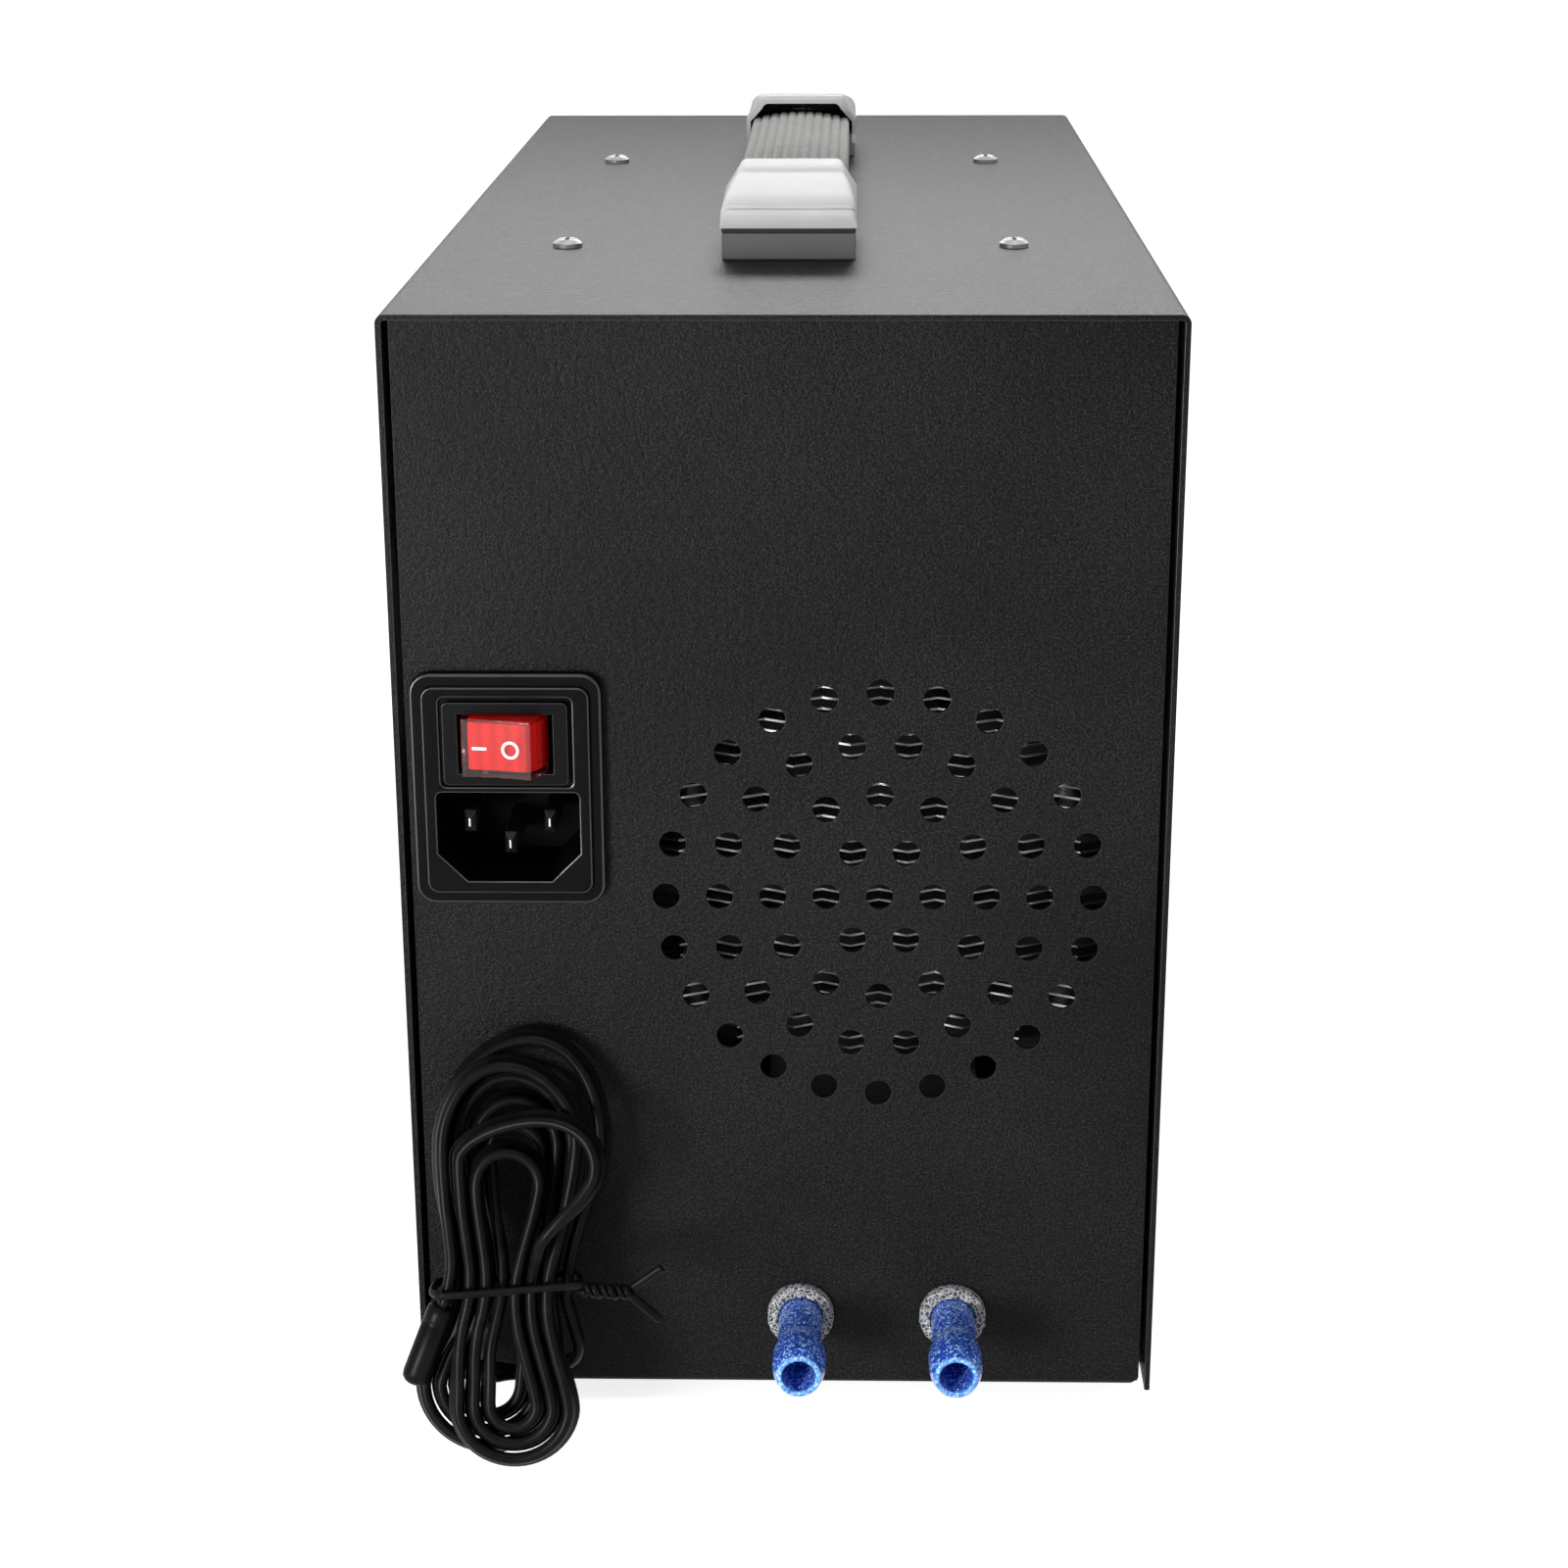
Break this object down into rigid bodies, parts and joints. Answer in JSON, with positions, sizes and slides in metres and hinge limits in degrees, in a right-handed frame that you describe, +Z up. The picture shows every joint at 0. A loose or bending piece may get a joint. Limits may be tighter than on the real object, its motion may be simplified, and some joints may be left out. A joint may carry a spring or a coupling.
{
  "type": "aquarium chiller",
  "caption": "Benchtop thermoelectric aquarium chiller in a black folded steel case, with hose tubes, mains inlet with rocker switch, strap handle and a coiled probe lead at the rear.",
  "frame": {"origin": "on the surface that the feet stand on, under the middle of the object without its probe lead", "axes": "+Z up, -Y out of the rear panel with the water tubes, +X to the right when the rear panel is seen"},
  "size_m": [0.138, 0.3304, 0.2189],
  "materials": {
    "case_paint": "fine textured satin",
    "black_rubber": "matt",
    "zinc_steel": "bright plated",
    "black_steel": "black oxide",
    "black_plastic": "fine matt",
    "gloss_black": "semi-gloss",
    "red_plastic": "translucent gloss",
    "nickel": "bright",
    "brass": "plain",
    "blue_tube": "gloss with glitter",
    "grey_foam": "open foam",
    "dark_foam": "closed foam",
    "bare_aluminium": "mill finish",
    "white_ceramic": "fired ceramic",
    "copper": "plain copper",
    "circuit_board": "solder mask",
    "clear_acrylic": "clear",
    "silver_plastic": "silver gloss",
    "strap_grey": "satin",
    "dark_window": "smoked",
    "button_silver": "satin",
    "wire_insulation": "satin",
    "lead_black": "satin"
  },
  "bodies": {
    "base": {"cover": "case_paint", "chassis": "case_paint", "rubber_feet": "black_rubber", "foot_screws": "zinc_steel", "cover_screws": "black_steel", "inlet_housing": "black_plastic", "inlet_pins": "nickel", "switch_body": "gloss_black", "switch_terminals": "brass", "left_water_tube": "blue_tube", "right_water_tube": "blue_tube", "left_foam_collar": "grey_foam", "right_foam_collar": "grey_foam", "water_block": "bare_aluminium", "block_insulation": "dark_foam", "rear_tec": "white_ceramic", "front_tec": "white_ceramic", "rear_heatsink_base": "bare_aluminium", "front_heatsink_base": "bare_aluminium", "rear_heat_pipes": "copper", "front_heat_pipes": "copper", "rear_fins": "bare_aluminium", "front_fins": "bare_aluminium", "clamp_bars": "zinc_steel", "clamp_posts": "zinc_steel", "clamp_screws": "zinc_steel", "rear_fan_frame": "black_plastic", "front_fan_frame": "black_plastic", "fan_clips": "zinc_steel", "psu_case": "bare_aluminium", "psu_cover": "bare_aluminium", "psu_board": "circuit_board", "psu_terminals": "black_plastic", "psu_spacers": "brass", "psu_screws": "zinc_steel", "rear_handle_block": "clear_acrylic", "front_handle_block": "clear_acrylic", "handle_liners": "black_plastic", "rear_handle_cap": "silver_plastic", "front_handle_cap": "silver_plastic", "strap_band": "zinc_steel", "strap_sleeve": "strap_grey", "handle_screws": "zinc_steel", "handle_nuts": "zinc_steel", "display_bezel": "black_plastic", "display_window": "dark_window", "display_module": "circuit_board", "control_board": "circuit_board", "wiring_harness": "wire_insulation", "cable_grommet": "black_rubber", "probe_lead": "lead_black", "probe_hank": "lead_black", "twist_tie": "lead_black", "probe": "lead_black"},
    "rocker": {"switch_rocker": "red_plastic"},
    "rear_rotor": {"rear_fan_rotor": "black_plastic"},
    "front_rotor": {"front_fan_rotor": "black_plastic"},
    "left_key": {"left_button": "button_silver"},
    "middle_key": {"middle_button": "button_silver"},
    "right_key": {"right_button": "button_silver"}
  },
  "joints": [
    {"name": "rocker_tilt", "type": "hinge", "parent": "base", "child": "rocker", "pos_m": [-0.0479, -0.1381, 0.1301], "axis": [0, 0, 1], "range_deg": [0, 20]},
    {"name": "rear_fan_spin", "type": "hinge", "parent": "base", "child": "rear_rotor", "pos_m": [0.0168, -0.071, 0.1009], "axis": [0, 1, 0], "continuous": true},
    {"name": "front_fan_spin", "type": "hinge", "parent": "base", "child": "front_rotor", "pos_m": [0.0168, 0.039, 0.1009], "axis": [0, 1, 0], "continuous": true},
    {"name": "left_button_push", "type": "slide", "parent": "base", "child": "left_key", "axis": [0, -1, 0], "range_m": [0, 0.0008], "stiffness_N_per_m": 300},
    {"name": "middle_button_push", "type": "slide", "parent": "base", "child": "middle_key", "axis": [0, -1, 0], "range_m": [0, 0.0008], "stiffness_N_per_m": 300},
    {"name": "right_button_push", "type": "slide", "parent": "base", "child": "right_key", "axis": [0, -1, 0], "range_m": [0, 0.0008], "stiffness_N_per_m": 300}
  ]
}
